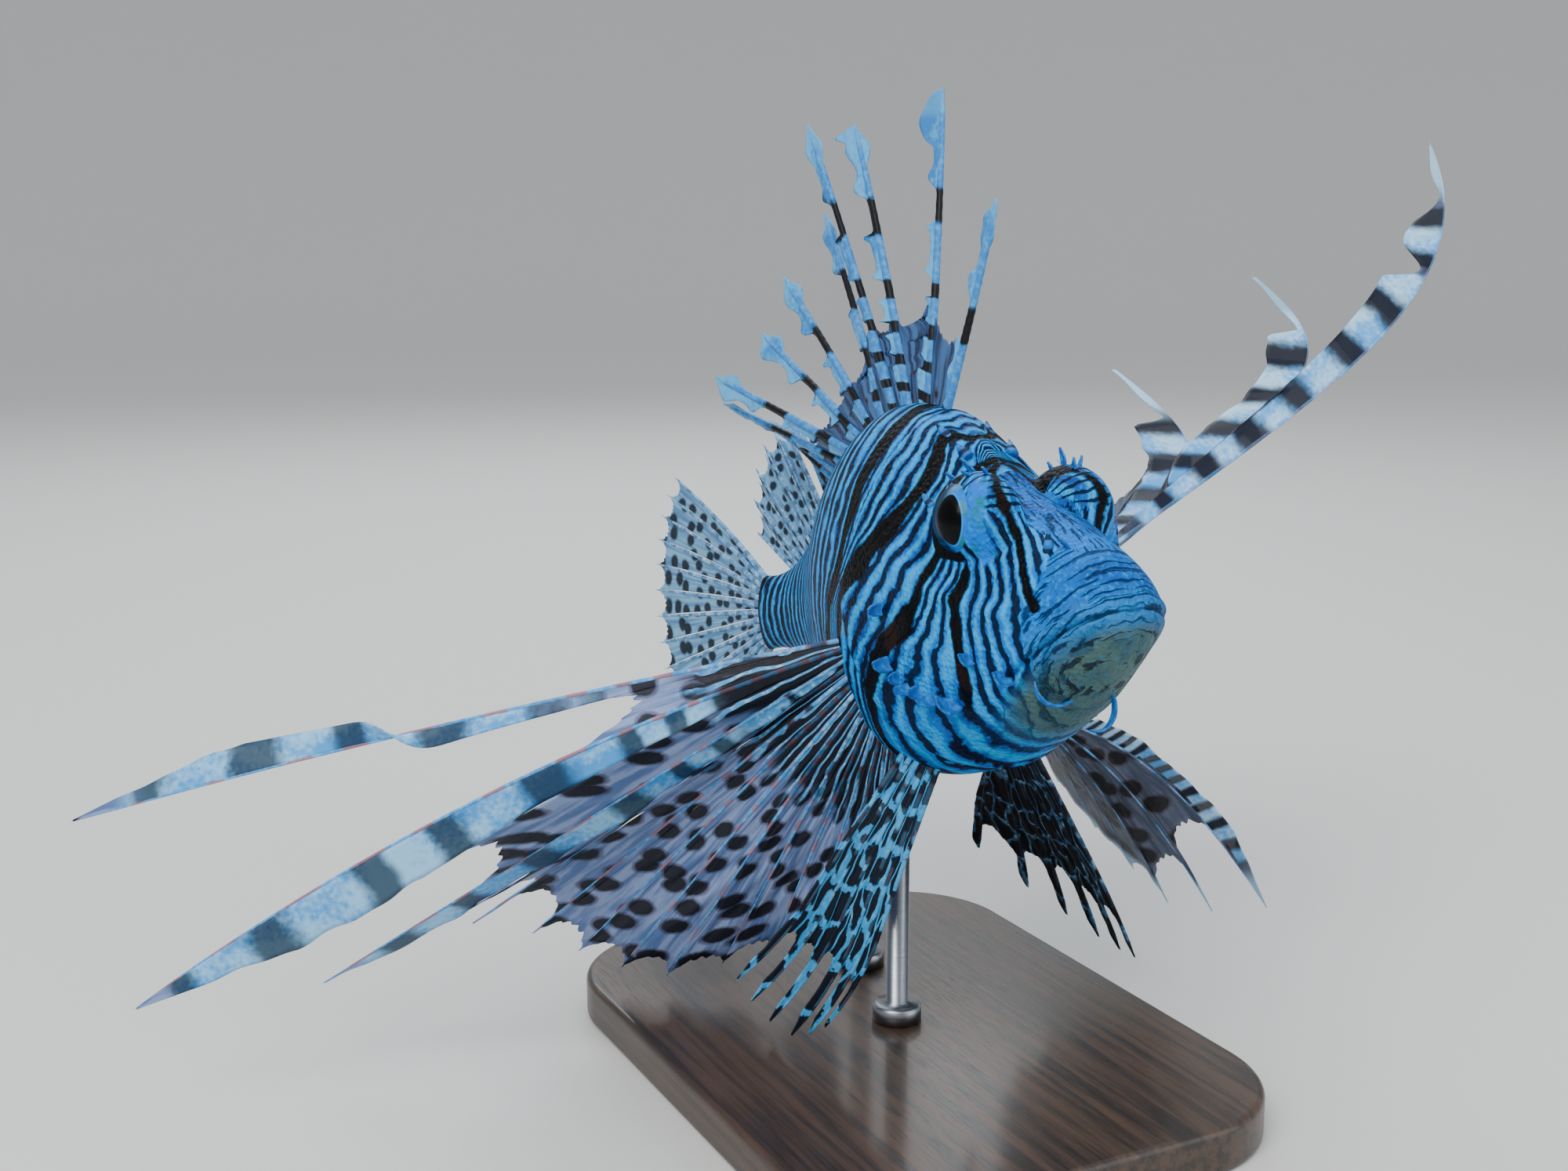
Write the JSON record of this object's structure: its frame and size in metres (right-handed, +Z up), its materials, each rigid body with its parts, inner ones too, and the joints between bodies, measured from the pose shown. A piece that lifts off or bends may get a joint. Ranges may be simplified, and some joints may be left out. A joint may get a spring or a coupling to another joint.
{
  "type": "red lionfish display model",
  "caption": "Still life-size model of a swimming lionfish with spread pectoral fins and raised back spines, held on a flat stand by short rods.",
  "frame": {"origin": "centre of the underside of the stand's base", "axes": "+X the way the fish faces, +Y its left side, +Z up"},
  "size_m": [0.2403, 0.3246, 0.2152],
  "materials": {
    "skin": "satin, pale blue with near-black stripes",
    "fin": "satin, thin and slightly clear, with dark bands and spots",
    "eye": "wet gloss",
    "stand_base": "dark stained, satin",
    "stand_rod": "brushed"
  },
  "bodies": {
    "root": {"head": "skin", "lower_jaw": "skin", "trunk": "skin", "loin": "skin", "tail_stalk": "skin", "eye_right": "eye", "eye_left": "eye", "dorsal_spines": "fin", "dorsal_fin_soft": "fin", "anal_fin": "fin", "tail_fin": "fin", "pectoral_fin_right": "fin", "pectoral_fin_left": "fin", "pelvic_fin_right": "fin", "pelvic_fin_left": "fin", "stand_base": "stand_base", "stand_rod_front": "stand_rod", "stand_rod_rear": "stand_rod"}
  },
  "joints": []
}
